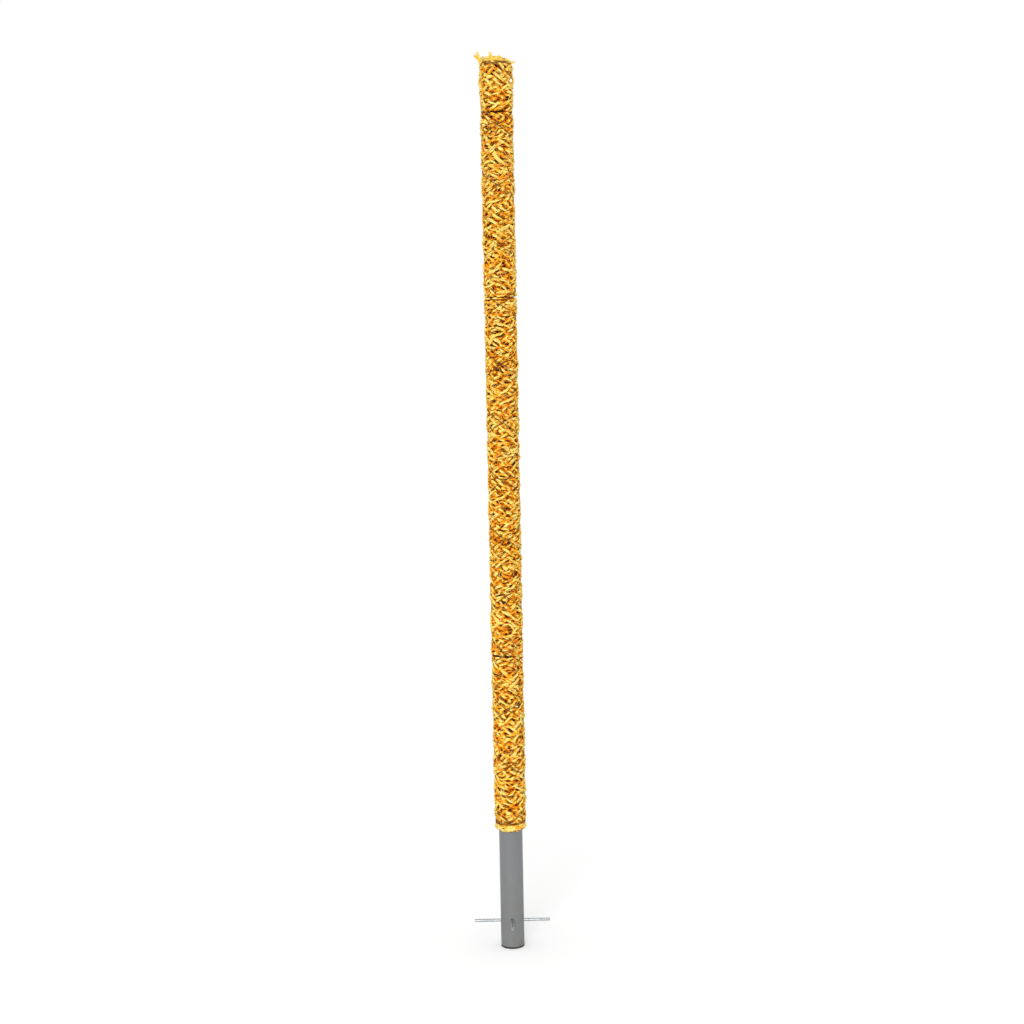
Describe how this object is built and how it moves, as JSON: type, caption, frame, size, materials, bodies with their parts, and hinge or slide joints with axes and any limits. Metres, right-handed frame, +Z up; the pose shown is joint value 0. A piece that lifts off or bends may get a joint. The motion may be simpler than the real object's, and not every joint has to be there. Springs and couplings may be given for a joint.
{
  "type": "moss pole",
  "caption": "Upright coir-wrapped climbing support: a plastic core tube bound in coconut-fibre mats by crossing twine, with a bare foot and cross rods that anchor it in potting soil.",
  "frame": {"origin": "centre of the underside of the foot", "axes": "+Z up along the pole, -Y towards the viewer of the picture, +X to their right"},
  "size_m": [0.13, 0.13, 1.5],
  "materials": {
    "coir": "matte",
    "twine": "matte",
    "tube_plastic": "satin",
    "plug_plastic": "matte",
    "rod_steel": "satin"
  },
  "bodies": {
    "root": {"core_tube": "tube_plastic", "foot_bung": "plug_plastic", "top_bung": "plug_plastic", "anchor_rod_lower": "rod_steel", "anchor_rod_upper": "rod_steel", "coir_mat_1": "coir", "coir_mat_2": "coir", "coir_mat_3": "coir", "coir_mat_4": "coir", "coir_mat_5": "coir", "coir_top_wad": "coir", "binding_twine_right": "twine", "binding_twine_left": "twine"}
  },
  "joints": []
}
